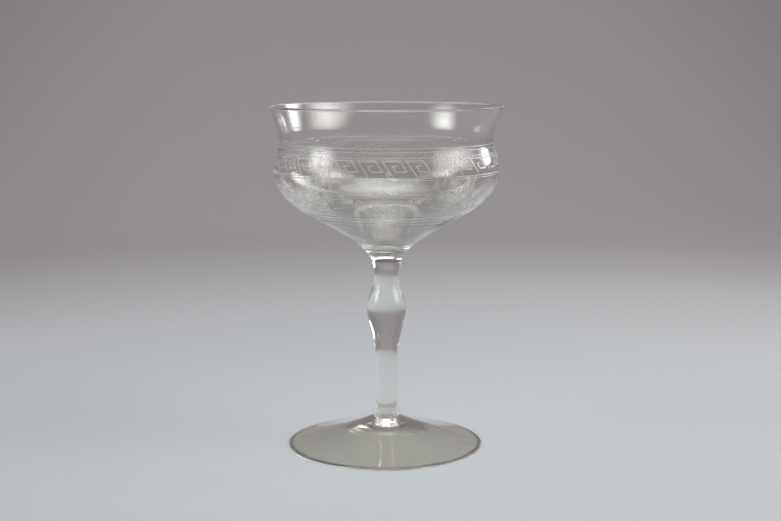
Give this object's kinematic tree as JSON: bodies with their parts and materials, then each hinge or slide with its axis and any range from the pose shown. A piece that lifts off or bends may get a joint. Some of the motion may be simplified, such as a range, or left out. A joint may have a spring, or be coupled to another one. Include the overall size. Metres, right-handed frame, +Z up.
{
  "type": "champagne saucer glass",
  "caption": "Stemmed champagne saucer of clear glass: wide waisted bowl with flared lip and an etched band, pear-shaped solid stem, collar and thin conical foot.",
  "frame": {"origin": "on the table, at the centre of the ring that the foot stands on", "axes": "+Z up along the stem's axis, from the foot to the rim; the glass is round, so +X and +Y are any two sides, and +Y looks away from the front panel of the etched band"},
  "size_m": [0.0874, 0.0874, 0.13],
  "materials": {
    "foot_glass": "fire polished clear glass, finely scuffed on the rest ring",
    "collar_glass": "fire polished clear glass",
    "stem_glass": "fire polished clear glass, drawn, with faint drawing lines",
    "bowl_glass": "fire polished clear glass with acid etched lines"
  },
  "bodies": {
    "root": {"foot": "foot_glass", "foot_collar": "collar_glass", "stem": "stem_glass", "bowl": "bowl_glass"}
  },
  "joints": []
}
